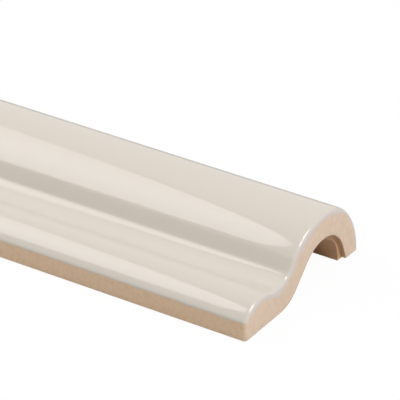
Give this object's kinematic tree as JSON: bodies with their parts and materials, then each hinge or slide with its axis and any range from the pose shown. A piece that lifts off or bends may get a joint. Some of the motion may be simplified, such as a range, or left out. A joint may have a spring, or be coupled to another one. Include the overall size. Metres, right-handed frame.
{
  "type": "chair rail tile",
  "caption": "Glazed ceramic trim tile: a large round over a sloping web and a small bead, with a plain front edge and a hollow back.",
  "frame": {"origin": "middle of the tile's back plane, the face that is bedded on the wall", "axes": "+X along the length of the tile; +Y across its width, from the plain front edge to the large round; +Z out of the wall, through the glazed face. The tile lies on its back"},
  "size_m": [0.2032, 0.0508, 0.0175],
  "materials": {
    "glazed_body": "cream gloss glaze over a pinkish tan fired body"
  },
  "bodies": {
    "root": {"chair_rail_tile": "glazed_body"}
  },
  "joints": []
}
